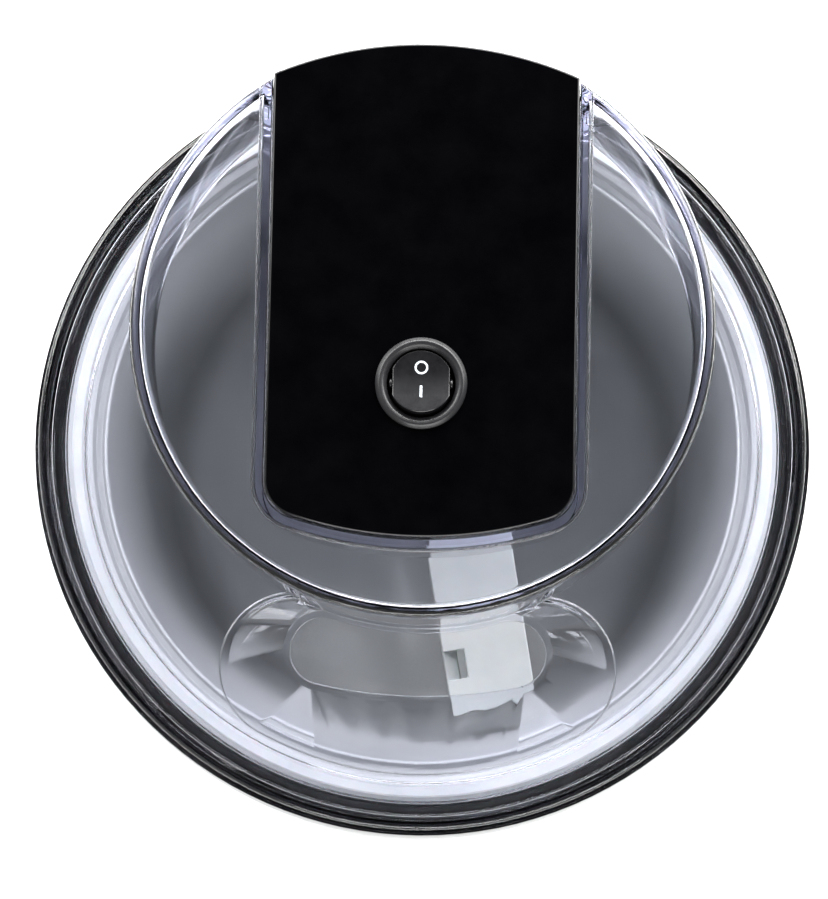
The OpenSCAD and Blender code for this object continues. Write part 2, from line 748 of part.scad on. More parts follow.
module paddle() {
    color("#dfe3e4") rotate(paddle_turn) difference() {
        union() {
            translate([0, 0, 38.6]) turned([[0, 0], [10, 0], [10, 100], [9.4, 109.5], [0, 109.5]]);
            intersection() {
                for (a = [0, 180]) rotate(a) translate([0, 9, 0]) blade();
                swept_space();
            }
        }
        translate([0, 0, 38]) cylinder(r = bowl_boss_r + 0.3, h = 6.6, $fn = 48);
        // Socket with two dogs
        translate([0, 0, bar_low_z - 2]) linear_extrude(30) difference() {
            circle(r = bar_r + 0.5, $fn = 64);
            difference() {
                for (a = [90, 270]) rotate(a) sector(20, -28, 28);
                circle(r = shaft_r + 0.4, $fn = 64);
            }
        }
    }
}

// ---------------------------------------------------------------- rocker switch

module switch_bezel() {
    bezel_r = bezel_d / 2;
    color("#0b0b0d") translate([0, switch_y, 0]) turned([[bezel_in_r, bezel_low_z],
        [switch_body_r, bezel_low_z], [switch_body_r, unit_top_z], [bezel_r, unit_top_z],
        [bezel_r, unit_top_z + 0.8], [bezel_r - 1, unit_top_z + 1.8],
        [bezel_r - 2, unit_top_z + 1.6], [bezel_in_r, unit_top_z + 0.4]]);
}

module switch_body() {
    color("#1a1b1d") translate([0, switch_y, 0]) difference() {
        translate([0, 0, 190]) cylinder(r = switch_body_r, h = bezel_low_z - 190, $fn = 64);
        translate([0, 0, 196]) cylinder(r = bezel_in_r, h = 20, $fn = 64);
        for (s = [-1, 1]) translate([-3.15, s * 4.5 - 0.4, 180]) cube([6.3, 0.8, 20]);
    }
}

module switch_terminals() {
    color("#c7b37a") for (s = [-1, 1]) translate([-3.15, switch_y + s * 4.5 - 0.4, 181])
        cube([6.3, 0.8, 14]);
}

// Round rocker with a dished face: at rest its back half is down
module switch_rocker() {
    color("#131417") translate([0, switch_y, rocker_z]) rotate([-9, 0, 0]) difference() {
        union() {
            intersection() {
                translate([0, 0, -2]) cylinder(r = 8, h = 6, $fn = 64);
                translate([-7.2, -10, -3]) cube([14.4, 20, 8]);
            }
            translate([-8, 0, 0]) rotate([0, 90, 0]) cylinder(r = 1.2, h = 16, $fn = 32);
            translate([-2.5, 0, -6]) cylinder(r = 2, h = 5, $fn = 32);
        }
        for (s = [-1, 1]) translate([-10, 0, 1.4]) rotate([s * 8, 0, 0])
            translate([0, s > 0 ? 0 : -12, 0]) cube([20, 12, 10]);
    }
}

// ---------------------------------------------------------------- cable entry and wiring

module cable_gland() {
    color("#121214") translate([0, 0, gland_z]) rotate([-90, 0, 0]) difference() {
        union() {
            translate([0, 0, 90]) cylinder(r = 5.45, h = 7, $fn = 64);
            translate([0, 0, 96.3]) turned([[0, 0], [7.2, 0], [7.2, 1.2], [5.6, 4.2], [0, 4.2]]);
            translate([0, 0, 90]) cylinder(r = 6.6, h = 2, $fn = 64);
        }
        translate([0, 0, 80]) cylinder(r = 3.5, h = 30, $fn = 64);
    }
}

module cable_clamp() {
    color("#e9e9e4") translate([0, 80, 0]) difference() {
        translate([-11, -4, floor_top_z]) cube([22, 8, 9.8]);
        translate([0, -10, gland_z - 1]) rotate([-90, 0, 0]) cylinder(r = 3.2, h = 20, $fn = 48);
        for (s = [-1, 1]) translate([s * 8, 0, 160]) cylinder(r = 1.6, h = 20, $fn = 32);
        translate([-3.2, -10, 160]) cube([6.4, 20, 8]);
    }
}

module clamp_screws() {
    color("#9ea1a4") for (s = [-1, 1]) screw([s * 8, 80], floor_top_z + 11.8, 11.8);
}

module terminal_block() {
    color("#e8e6dc") translate([-30, 40, floor_top_z]) difference() {
        cube([11, 22, 12.4]);
        for (y = [5, 11, 17]) {
            translate([-1, y, 167.5 - floor_top_z]) rotate([0, 90, 0]) cylinder(r = 1.4, h = 13, $fn = 32);
            translate([5.5, y, 7]) cylinder(r = 1.7, h = 6, $fn = 32);
        }
    }
}

// A wire swept along its points, eight-sided
module wire(points, r) {
    last = len(points) - 1;
    sides = 8;
    rings = [for (i = [0:last]) let (
        d = points[min(i + 1, last)] - points[max(i - 1, 0)], t = d / norm(d),
        c = cross(t, [0.31, 0.9, 0.3]), u = c / norm(c), v = cross(t, u))
        for (k = [0:sides - 1]) points[i] + r * (cos(k * 360 / sides) * u + sin(k * 360 / sides) * v)];
    polyhedron(rings, concat(
        [[for (k = [0:sides - 1]) k]],
        [[for (k = [sides - 1:-1:0]) last * sides + k]],
        [for (i = [0:last - 1], k = [0:sides - 1])
            [i * sides + k, (i + 1) * sides + k,
             (i + 1) * sides + (k + 1) % sides, i * sides + (k + 1) % sides]]));
}

module inner_wires() {
    color("#3a5fae") {
        wire([[0, 74, 168], [-6, 73, 168], [-11, 69, 168], [-12.5, 63, 167.8], [-15, 58, 167.6],
            [-19.6, 57, 167.5]], 1.1);
        wire([[-19.6, 45, 167.5], [-16, 43.5, 167.8], [-17, 37, 168.5], [-23, 31, 170],
            [-23.6, 22, 173], [-18, 15.5, 176.5], [-9, 14.3, 178.6], [0, 14.3, 179.7]], 1.1);
        wire([[-29.4, 51, 167.5], [-33, 51, 168.6], [-34.7, 52, 178], [-34.7, 55, 187],
            [-31, 61, 197], [-24, 66, 204], [-10.8, 69.4, 205.2]], 1.1);
    }
}

housing();
base_plate();
feet();
base_screws();
bowl_liner();
bowl_shell();
bowl_coolant();
bowl_gasket();
bowl_fill_plug();
rim_seal();
lid();
motor_cover();
motor_chassis();
gear_plate();
plate_screws();
cover_screws();
gear_axles();
shaft_bush();
motor_can();
motor_end_cap();
motor_screws();
motor_rotor();
motor_pinion();
first_gear();
second_gear();
output_gear();
drive_shaft();
shaft_circlip();
paddle();
switch_bezel();
switch_body();
switch_terminals();
switch_rocker();
cable_gland();
cable_clamp();
clamp_screws();
terminal_block();
inner_wires();
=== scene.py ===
"""Looks of the ice cream maker: finishes for all CAD nodes, softened shells, lights and camera."""

import json
import math

import bpy
from mathutils import Matrix, Vector

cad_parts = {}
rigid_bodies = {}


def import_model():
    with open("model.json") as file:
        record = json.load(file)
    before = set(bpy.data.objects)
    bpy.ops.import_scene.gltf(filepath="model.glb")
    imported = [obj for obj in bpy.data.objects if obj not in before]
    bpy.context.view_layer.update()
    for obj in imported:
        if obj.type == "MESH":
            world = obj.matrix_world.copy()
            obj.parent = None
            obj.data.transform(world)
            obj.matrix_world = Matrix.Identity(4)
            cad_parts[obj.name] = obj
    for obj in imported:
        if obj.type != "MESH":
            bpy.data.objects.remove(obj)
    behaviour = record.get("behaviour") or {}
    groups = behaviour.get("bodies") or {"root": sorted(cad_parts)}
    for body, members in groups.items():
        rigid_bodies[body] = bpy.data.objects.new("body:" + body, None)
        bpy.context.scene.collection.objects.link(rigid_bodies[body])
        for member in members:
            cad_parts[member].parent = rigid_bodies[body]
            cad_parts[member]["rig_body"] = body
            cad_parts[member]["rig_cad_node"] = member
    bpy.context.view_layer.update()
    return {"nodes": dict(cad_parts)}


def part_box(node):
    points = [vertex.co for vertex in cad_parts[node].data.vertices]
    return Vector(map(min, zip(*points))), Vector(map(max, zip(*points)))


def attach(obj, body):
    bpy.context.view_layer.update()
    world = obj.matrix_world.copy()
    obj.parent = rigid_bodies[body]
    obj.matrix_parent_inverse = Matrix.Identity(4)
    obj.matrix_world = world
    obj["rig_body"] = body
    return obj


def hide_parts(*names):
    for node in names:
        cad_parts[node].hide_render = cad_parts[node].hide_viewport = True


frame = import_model()
nodes = frame["nodes"]

MM = 0.001


# ------------------------------------------------------------------ finishes

def srgb(code):
    """Linear colour of an sRGB hex code."""
    values = [int(code[i:i + 2], 16) / 255 for i in (1, 3, 5)]
    return tuple(v / 12.92 if v <= 0.04045 else ((v + 0.055) / 1.055) ** 2.4 for v in values) + (1.0,)


def per_mm(spacing):
    """Noise scale that repeats about every spacing millimetres."""
    return 1 / (spacing * MM)


def add(tree, kind, links=None, **settings):
    """Adds a node, sets its properties and inputs, and links its inputs."""
    node = tree.nodes.new(kind)
    for key, value in settings.items():
        if hasattr(node, key):
            setattr(node, key, value)
        else:
            node.inputs[key.replace("_", " ")].default_value = value
    for key, socket in (links or {}).items():
        tree.links.new(socket, node.inputs[key])
    return node


def finish(name, **shader):
    """A new material: its node tree, its Principled shader and its Object coordinates."""
    material = bpy.data.materials.new(name)
    material.use_nodes = True
    tree = material.node_tree
    principled = tree.nodes["Principled BSDF"]
    for key, value in shader.items():
        principled.inputs[key.replace("_", " ")].default_value = value
    place = add(tree, "ShaderNodeTexCoord").outputs["Object"]
    return material, tree, principled, place


def noise(tree, place, spacing, detail=4, roughness=0.55):
    return add(tree, "ShaderNodeTexNoise", {"Vector": place}, Scale=per_mm(spacing), Detail=detail,
               Roughness=roughness).outputs["Fac"]


def spread(tree, value, low, high, start=0.3, end=0.7):
    return add(tree, "ShaderNodeMapRange", {"Value": value}, From_Min=start, From_Max=end, To_Min=low,
               To_Max=high).outputs["Result"]


def shade(tree, value, dark, light):
    """Two tones of one colour, chosen by value."""
    ramp = add(tree, "ShaderNodeValToRGB", {"Fac": value})
    ramp.color_ramp.elements[0].position = 0.3
    ramp.color_ramp.elements[0].color = srgb(dark)
    ramp.color_ramp.elements[1].position = 0.7
    ramp.color_ramp.elements[1].color = srgb(light)
    return ramp.outputs["Color"]


def relief(tree, principled, height, depth, strength=1.0):
    """Bump whose full height is depth millimetres."""
    bump = add(tree, "ShaderNodeBump", {"Height": height}, Distance=depth * MM, Strength=strength)
    tree.links.new(bump.outputs["Normal"], principled.inputs["Normal"])


def gloss_black_abs():
    # Injection-moulded ABS from a polished mould: deep black, mirror-like, with faint handling marks
    material, tree, principled, place = finish("polished black ABS", IOR=1.5)
    tone = shade(tree, noise(tree, place, 9), "#020203", "#040405")
    tree.links.new(tone, principled.inputs["Base Color"])
    smears = spread(tree, noise(tree, place, 14, 6, 0.65), 0.03, 0.08)
    tree.links.new(smears, principled.inputs["Roughness"])
    relief(tree, principled, noise(tree, place, 2.2, 2), 0.004, 0.4)
    return material


def textured_black_abs(name, dark, light, grain=0.8, depth=0.03, low=0.42, high=0.6):
    # Moulded ABS from an eroded mould: an even fine grain that dulls its shine
    material, tree, principled, place = finish(name, IOR=1.53)
    grit = noise(tree, place, grain, 3)
    tree.links.new(shade(tree, grit, dark, light), principled.inputs["Base Color"])
    tree.links.new(spread(tree, noise(tree, place, 7), low, high), principled.inputs["Roughness"])
    relief(tree, principled, grit, depth)
    return material


def clear_styrene():
    # Clear moulded styrene: nearly colourless through its walls, blue-violet along its edges
    material, tree, principled, place = finish(
        "clear moulded styrene", Base_Color=srgb("#fafbff"), IOR=1.57, Transmission_Weight=1.0)
    tree.links.new(spread(tree, noise(tree, place, 16, 5), 0.0, 0.035), principled.inputs["Roughness"])
    relief(tree, principled, noise(tree, place, 7, 2), 0.01, 0.25)
    # Lamps shine straight through the thin walls
    passing = add(tree, "ShaderNodeBsdfTransparent", Color=srgb("#fdfdfe"))
    path = add(tree, "ShaderNodeLightPath")
    mixed = add(tree, "ShaderNodeMixShader", {
        0: path.outputs["Is Shadow Ray"], 1: principled.outputs["BSDF"], 2: passing.outputs["BSDF"]})
    out = tree.nodes["Material Output"]
    tree.links.new(mixed.outputs["Shader"], out.inputs["Surface"])
    tint = add(tree, "ShaderNodeVolumeAbsorption", Color=srgb("#8e90dc"), Density=9.0)
    tree.links.new(tint.outputs["Volume"], out.inputs["Volume"])
    return material


def blasted_aluminium():
    # Pressed aluminium, bead blasted and clear anodised: satin grey, part mirror and part matt film
    material, tree, principled, place = finish("blasted aluminium", Metallic=0.6)
    grit = noise(tree, place, 0.7, 2, 0.7)  # real grit is about 0.1 mm, drawn coarser so that it shows
    tone = add(tree, "ShaderNodeMix", {"Factor": noise(tree, place, 30, 3)}, data_type="RGBA")
    tone.inputs[6].default_value = srgb("#c6c8ca")
    tree.links.new(shade(tree, grit, "#cdcfd1", "#dddfe0"), tone.inputs[7])
    tree.links.new(tone.outputs[2], principled.inputs["Base Color"])
    tree.links.new(spread(tree, grit, 0.58, 0.74), principled.inputs["Roughness"])
    relief(tree, principled, grit, 0.05, 0.6)
    return material


def spun_metal(name, dark, light, low=0.22, high=0.36, ring=0.6):
    # Metal turned on a lathe or wheel: rings of fine tool marks about its axis
    material, tree, principled, place = finish(name, Metallic=1.0)
    lines = add(tree, "ShaderNodeTexWave", {"Vector": place}, wave_type="RINGS", rings_direction="Z",
                Scale=per_mm(ring) / 20, Distortion=0.6, Detail=2.0)
    tree.links.new(shade(tree, noise(tree, place, 4), dark, light), principled.inputs["Base Color"])
    dullness = spread(tree, lines.outputs["Fac"], low, high, 0.0, 1.0)
    tree.links.new(dullness, principled.inputs["Roughness"])
    relief(tree, principled, lines.outputs["Fac"], 0.008, 0.5)
    return material


def plated_steel(name, dark, light, low=0.2, high=0.4):
    # Plated or blued metal: bright, with a faint mottle from the bath
    material, tree, principled, place = finish(name, Metallic=1.0)
    mottle = noise(tree, place, 1.6, 5, 0.7)
    tree.links.new(shade(tree, mottle, dark, light), principled.inputs["Base Color"])
    tree.links.new(spread(tree, mottle, low, high), principled.inputs["Roughness"])
    relief(tree, principled, noise(tree, place, 0.5, 2), 0.006, 0.5)
    return material


def moulded_plastic(name, dark, light, grain=1.2, depth=0.012, low=0.3, high=0.45, scatter=0.0):
    # Moulded polypropylene, nylon, silicone or vinyl: waxy, soft to the light, dull from the mould
    material, tree, principled, place = finish(
        name, IOR=1.5, Subsurface_Weight=scatter, Subsurface_Scale=0.002)
    cloud = noise(tree, place, 12, 3)
    tree.links.new(shade(tree, cloud, dark, light), principled.inputs["Base Color"])
    tree.links.new(spread(tree, noise(tree, place, 5, 4), low, high), principled.inputs["Roughness"])
    relief(tree, principled, noise(tree, place, grain, 3), depth, 0.6)
    return material


def rubber(name, dark, light):
    # Moulded rubber: dark, dry and dusty, with a powdery grain
    material, tree, principled, place = finish(name, IOR=1.5, Specular_IOR_Level=0.35)
    dust = noise(tree, place, 2.5, 6, 0.7)
    tree.links.new(shade(tree, dust, dark, light), principled.inputs["Base Color"])
    tree.links.new(spread(tree, dust, 0.6, 0.82), principled.inputs["Roughness"])
    relief(tree, principled, noise(tree, place, 0.6, 3), 0.04)
    return material


def wound_copper():
    # Enamelled copper wire, wound round the armature: fine turns under a varnish
    material, tree, principled, place = finish(
        "wound copper", Metallic=1.0, Coat_Weight=0.6, Coat_Roughness=0.15)
    turns = add(tree, "ShaderNodeTexWave", {"Vector": place}, bands_direction="Z", Scale=per_mm(0.4) / 6,
                Distortion=1.0, Detail=1.0)
    # Copper colour painted in bands along the turns: painted shade in the grooves between turns and painted
    # highlight on their crests
    turn_shade_and_highlight = shade(tree, turns.outputs["Fac"], "#7a3f1e", "#c9814a")
    tree.links.new(turn_shade_and_highlight, principled.inputs["Base Color"])
    tree.links.new(spread(tree, turns.outputs["Fac"], 0.25, 0.4), principled.inputs["Roughness"])
    relief(tree, principled, turns.outputs["Fac"], 0.1)
    return material


def printed_white():
    # White pad-printed ink: thin, matt, with a slightly uneven coat
    material, tree, principled, place = finish("printed white ink", IOR=1.5)
    coat = noise(tree, place, 0.5, 3)
    tree.links.new(shade(tree, coat, "#aeb4ba", "#c6cbd0"), principled.inputs["Base Color"])
    tree.links.new(spread(tree, coat, 0.35, 0.5), principled.inputs["Roughness"])
    relief(tree, principled, coat, 0.01)
    return material


def cooling_gel():
    # Refrigerant gel: a pale blue jelly with clouds in it
    material, tree, principled, place = finish(
        "cooling gel", IOR=1.38, Subsurface_Weight=0.4, Subsurface_Scale=0.01)
    cloud = noise(tree, place, 10, 5)
    tree.links.new(shade(tree, cloud, "#7fb6d6", "#a9d2e8"), principled.inputs["Base Color"])
    tree.links.new(spread(tree, cloud, 0.15, 0.35), principled.inputs["Roughness"])
    relief(tree, principled, cloud, 0.3, 0.4)
    return material


black_gloss = gloss_black_abs()
clear = clear_styrene()
aluminium = blasted_aluminium()
shell_metal = spun_metal("spun aluminium", "#a7abaf", "#bec2c6", 0.3, 0.45)
base_black = textured_black_abs("grained black ABS", "#111214", "#1a1b1d")
nylon_black = textured_black_abs("black nylon", "#17181a", "#222326", 1.0, 0.015, 0.35, 0.5)
switch_black = textured_black_abs("satin black nylon", "#131315", "#1b1b1d", 0.5, 0.012, 0.3, 0.42)
rocker_black = textured_black_abs("polished black nylon", "#101012", "#161618", 1.5, 0.004, 0.16, 0.26)
foot_rubber = rubber("black rubber", "#151515", "#232323")
gasket_rubber = rubber("grey rubber", "#262729", "#36383a")
seal_silicone = moulded_plastic("white silicone", "#d5d9dc", "#e6e9eb", low=0.4, high=0.55, scatter=0.2)
paddle_plastic = moulded_plastic("light grey polypropylene", "#d2d7d9", "#dde1e2", scatter=0.1)
gear_plastic = moulded_plastic("natural nylon", "#dedacb", "#ebe8dc", low=0.25, high=0.38, scatter=0.15)
plug_plastic = moulded_plastic("white nylon", "#cfd2d5", "#e0e3e5")
terminal_plastic = moulded_plastic("cream polyamide", "#d9d4c4", "#e7e2d3", low=0.35, high=0.5)
wire_plastic = moulded_plastic("blue vinyl", "#24426f", "#305488", low=0.3, high=0.42)
zinc = plated_steel("zinc-plated steel", "#b3b6b9", "#cfd2d4")
screw_zinc = plated_steel("zinc-plated screws", "#a3a6aa", "#c4c7ca", 0.22, 0.36)
can_steel = spun_metal("drawn steel", "#9a9ea3", "#b4b8bc")
shaft_steel = spun_metal("turned stainless steel", "#a9acb0", "#c3c6c9", 0.14, 0.26, 0.3)
spring_steel = plated_steel("blued spring steel", "#45484d", "#5f6368", 0.25, 0.4)
brass = spun_metal("turned brass", "#b8924a", "#d1ac63", 0.2, 0.34, 0.3)
bronze = spun_metal("sintered bronze", "#9c7440", "#b98f58", 0.35, 0.5, 0.4)
tinned_brass = plated_steel("tinned brass", "#b9ad83", "#d2c79f", 0.25, 0.4)
copper = wound_copper()
ink = printed_white()
gel = cooling_gel()

NODE_FINISH = {
    "housing": black_gloss, "base_plate": base_black, "feet": foot_rubber, "base_screws": screw_zinc,
    "bowl_liner": aluminium, "bowl_shell": shell_metal, "bowl_coolant": gel, "bowl_gasket": gasket_rubber,
    "bowl_fill_plug": plug_plastic, "rim_seal": seal_silicone, "lid": clear, "motor_cover": black_gloss,
    "motor_chassis": black_gloss, "gear_plate": zinc, "plate_screws": screw_zinc,
    "cover_screws": screw_zinc, "gear_axles": shaft_steel, "shaft_bush": bronze, "motor_can": can_steel,
    "motor_end_cap": nylon_black, "motor_screws": screw_zinc, "motor_rotor": copper,
    "motor_pinion": brass, "first_gear": gear_plastic, "second_gear": gear_plastic,
    "output_gear": gear_plastic, "drive_shaft": shaft_steel, "shaft_circlip": spring_steel, "paddle": paddle_plastic,
    "switch_bezel": switch_black, "switch_body": nylon_black, "switch_terminals": tinned_brass,
    "switch_rocker": rocker_black, "cable_gland": foot_rubber, "cable_clamp": nylon_black,
    "clamp_screws": screw_zinc, "terminal_block": terminal_plastic, "inner_wires": wire_plastic,
}
for node_name, node_material in NODE_FINISH.items():
    for slot in nodes[node_name].material_slots:
        slot.material = node_material


# ------------------------------------------------------------------ modelling by hand

def deselect():
    bpy.ops.object.select_all(action="DESELECT")


def activate(piece):
    deselect()
    bpy.context.view_layer.objects.active = piece
    piece.select_set(True)


def named(piece, name):
    piece.name = piece.data.name = name
    return piece


def turned(name, outline, centre=(0, 0), steps=256, hollow=True):
    """A ring, or a disc if it isn't hollow, turned about an upright axis from (radius, height) points."""
    x, y = centre[0] * MM, centre[1] * MM
    first_r, first_z = outline[0]
    deselect()
    bpy.ops.mesh.primitive_circle_add(vertices=steps, radius=first_r * MM, location=(x, y, first_z * MM))
    piece = named(bpy.context.object, name)
    bpy.ops.object.transform_apply(location=True, rotation=False, scale=False)
    bpy.ops.object.mode_set(mode="EDIT")
    bpy.ops.mesh.select_all(action="SELECT")
    if not hollow:
        bpy.ops.mesh.edge_face_add()
    path = outline[1:] + (outline[:1] if hollow else [])
    r, z = first_r, first_z
    for next_r, next_z in path:
        bpy.ops.mesh.extrude_region_move(TRANSFORM_OT_translate={"value": (0, 0, (next_z - z) * MM)})
        bpy.ops.transform.resize(value=(next_r / r, next_r / r, 1), center_override=(x, y, 0))
        r, z = next_r, next_z
    bpy.ops.mesh.select_all(action="SELECT")
    bpy.ops.mesh.remove_doubles(threshold=0.001 * MM)
    bpy.ops.mesh.normals_make_consistent(inside=False)
    bpy.ops.object.mode_set(mode="OBJECT")
    return piece


def slab(name, corners, low, high):
    """A flat plate whose plan runs through (x, y) corners, between two heights, in millimetres."""
    deselect()
    bpy.ops.mesh.primitive_circle_add(vertices=len(corners), radius=1, location=(0, 0, 0))
    piece = named(bpy.context.object, name)
    for vertex, (x, y) in zip(piece.data.vertices, corners):
        vertex.co = (x * MM, y * MM, low * MM)
    piece.data.update()
    bpy.ops.object.mode_set(mode="EDIT")
    bpy.ops.mesh.select_all(action="SELECT")
    bpy.ops.mesh.edge_face_add()
    bpy.ops.mesh.extrude_region_move(TRANSFORM_OT_translate={"value": (0, 0, (high - low) * MM)})
    bpy.ops.mesh.select_all(action="SELECT")
    bpy.ops.mesh.normals_make_consistent(inside=False)
    bpy.ops.object.mode_set(mode="OBJECT")
    return piece


def rounded(piece, width, steps=3, sharp=30, clamped=True):
    """Rounds every sharp edge of a clean mesh by width millimetres."""
    activate(piece)
    edge = piece.modifiers.new("rounded edges", "BEVEL")
    edge.width = width * MM
    edge.segments = steps
    edge.limit_method = "ANGLE"
    edge.angle_limit = math.radians(sharp)
    edge.use_clamp_overlap = clamped
    bpy.ops.object.modifier_apply(modifier=edge.name)
    return piece


def joined(piece, other, how):
    """Cuts piece by other, or keeps what they share; other is used up."""
    activate(piece)
    cut = piece.modifiers.new("cut", "BOOLEAN")
    cut.operation = how
    cut.object = other
    cut.solver = "EXACT"
    bpy.ops.object.modifier_apply(modifier=cut.name)
    mesh = other.data
    bpy.data.objects.remove(other)
    bpy.data.meshes.remove(mesh)
    return piece


def placed(piece, node, body, material, smooth=32):
    """The piece gets its finish, stands for a CAD node and rides on a body."""
    activate(piece)
    piece.data.materials.clear()
    piece.data.materials.append(material)
    bpy.ops.object.shade_smooth_by_angle(angle=math.radians(smooth))
    # Large flats keep one shading direction right up to their rounded edges
    even = piece.modifiers.new("even shading", "WEIGHTED_NORMAL")
    even.weight = 50
    even.keep_sharp = True
    bpy.ops.object.modifier_apply(modifier=even.name)
    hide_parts(node)
    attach(piece, body)
    return piece


def round_points(centre, radius, start, end, steps):
    """Points on an arc, from start to end degrees."""
    angles = [math.radians(start + (end - start) * i / steps) for i in range(steps + 1)]
    return [(centre[0] + radius * math.cos(a), centre[1] + radius * math.sin(a)) for a in angles]


def softened(name, node, body, width, steps=2, sharp=35):
    """A copy of a CAD node, its sharp edges rounded by width millimetres, stands for the node."""
    activate(nodes[node])
    piece = nodes[node].copy()
    piece.data = nodes[node].data.copy()
    named(piece, name)
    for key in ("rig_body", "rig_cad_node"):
        del piece[key]
    piece.parent = None
    bpy.context.scene.collection.objects.link(piece)
    activate(piece)
    if piece.data.has_custom_normals:
        bpy.ops.mesh.customdata_custom_splitnormals_clear()
    bpy.ops.object.mode_set(mode="EDIT")
    bpy.ops.mesh.select_all(action="SELECT")
    bpy.ops.mesh.remove_doubles(threshold=0.01 * MM)
    bpy.ops.mesh.dissolve_limited(angle_limit=math.radians(0.05))
    bpy.ops.object.mode_set(mode="OBJECT")
    rounded(piece, width, steps, sharp, clamped=False)
    return placed(piece, node, body, NODE_FINISH[node])


# ------------------------------------------------------------------ visible shells

def box_mm(node):
    """Lowest and highest corner of a CAD node in millimetres."""
    low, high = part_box(node)
    return [v / MM for v in low], [v / MM for v in high]


cover_low, cover_high = box_mm("motor_cover")
bezel_low, bezel_high = box_mm("switch_bezel")
unit_half = cover_high[0]
unit_back = cover_high[1]
unit_front = cover_low[1]
seam_z, top_z = cover_low[2], cover_high[2]
switch_y = (bezel_low[1] + bezel_high[1]) / 2
CORNER_R = 9.0
FRONT_R = 107.0
FRONT_AXIS_Y = unit_front + FRONT_R
PAST_BACK = 140  # plans run on past the back arc, which trims them
COVER_WALL, COVER_TOP, COVER_EDGE = 2.0, 2.2, 0.6
SWITCH_HOLE_R = 10.1
ARC_LOW, ARC_HIGH = 100, 260  # heights between which the back arc trims a plan
INK_THICK, INK_GAP = 0.06, 0.02
DROP_FROM = top_z + 8  # marks start above the rocker and are dropped on to it


def unit_plan(inset):
    """Plan of the motor unit, smaller by inset: bowed front, round corners and straight sides."""
    corner_x = unit_half - CORNER_R
    corner_y = FRONT_AXIS_Y - math.sqrt((FRONT_R - CORNER_R) ** 2 - corner_x ** 2)
    turn = math.degrees(math.atan2(corner_y - FRONT_AXIS_Y, corner_x))
    return ([(inset - unit_half, PAST_BACK), (unit_half - inset, PAST_BACK)]
            + round_points((corner_x, corner_y), CORNER_R - inset, 0, turn, 12)
            + round_points((0, FRONT_AXIS_Y), FRONT_R - inset, turn - 1.2, -178.8 - turn, 36)
            + round_points((-corner_x, corner_y), CORNER_R - inset, -180 - turn, -180, 12))


def bevel_at_height(piece, height, width, steps):
    """Rounds the edges that lie at one height."""
    activate(piece)
    bpy.ops.object.mode_set(mode="EDIT")
    bpy.ops.mesh.select_all(action="DESELECT")
    bpy.ops.object.mode_set(mode="OBJECT")
    points = piece.data.vertices
    for edge in piece.data.edges:
        edge.select = all(abs(points[v].co.z / MM - height) < 0.01 for v in edge.vertices)
    bpy.ops.object.mode_set(mode="EDIT")
    bpy.ops.mesh.select_mode(type="EDGE")
    bpy.ops.mesh.bevel(offset=width * MM, segments=steps, affect="EDGES", clamp_overlap=False)
    bpy.ops.object.mode_set(mode="OBJECT")


def back_arc(radius):
    """Upright disc whose edge is the round back of the motor unit."""
    return turned("back_arc", [(radius, ARC_LOW), (radius, ARC_HIGH)], hollow=False)


def cover_shell():
    """Gloss cover with a softly rounded top edge, hollow inside, with the switch's round opening."""
    shell = slab("cover_shell", unit_plan(0), seam_z, top_z)
    joined(shell, back_arc(unit_back), "INTERSECT")
    bevel_at_height(shell, top_z, COVER_EDGE, 4)
    inside = slab("inside", unit_plan(COVER_WALL), seam_z - 10, top_z - COVER_TOP)
    joined(inside, back_arc(unit_back - COVER_WALL), "INTERSECT")
    joined(shell, inside, "DIFFERENCE")
    hole = [(SWITCH_HOLE_R, top_z - 10), (SWITCH_HOLE_R, top_z + 10)]
    opening = turned("opening", hole, (0, switch_y), 96, hollow=False)
    joined(shell, opening, "DIFFERENCE")
    return placed(shell, "motor_cover", "motor_unit", black_gloss)


def freezer_bowl_liner():
    """Bowl's inner wall, turned in one piece: boss, coved floor, leaning wall and stepped rim."""
    low, high = box_mm("bowl_liner")
    rim_r, rim_z, under_z = high[0], high[2] - 0.02, low[2]  # the seal rests on the rim
    wall, pole = 1.5, 0.0004  # the rings at the pole are merged into one point
    floor_z, mouth_r, floor_r, cove_r = under_z + wall, 85.5, 79.0, 14.0
    ledge_z = 143.5
    cove = (floor_r - cove_r, floor_z + cove_r)
    liner = turned("freezer_bowl_liner", (
        [(pole, floor_z + 8), (3, floor_z + 8), (4, floor_z + 7), (4, floor_z + 2.4),
         (5, floor_z + 2), (7, floor_z)]
        + round_points(cove, cove_r, -90, 0, 24)
        + [(mouth_r, 144.6), (mouth_r + 0.5, 146.2), (mouth_r + 1.2, 146.4), (mouth_r + 1.9, 145.2),
           (mouth_r + 3.7, 145.2), (mouth_r + 4.1, 148.6), (mouth_r + 4.9, 149.1), (mouth_r + 5.6, rim_z),
           (rim_r, rim_z), (rim_r, ledge_z), (rim_r - 1.2, ledge_z), (rim_r - 1.2, rim_z - wall),
           (mouth_r + 4.3, rim_z - wall), (mouth_r + 4.3, 143.6), (mouth_r + wall, 143.6),
           (floor_r + wall, floor_z + cove_r)]
        + round_points(cove, cove_r + wall, 0, -90, 24)
        + [(pole, under_z)]))
    rounded(liner, 0.3, 3, 32)
    return placed(liner, "bowl_liner", "bowl", aluminium)


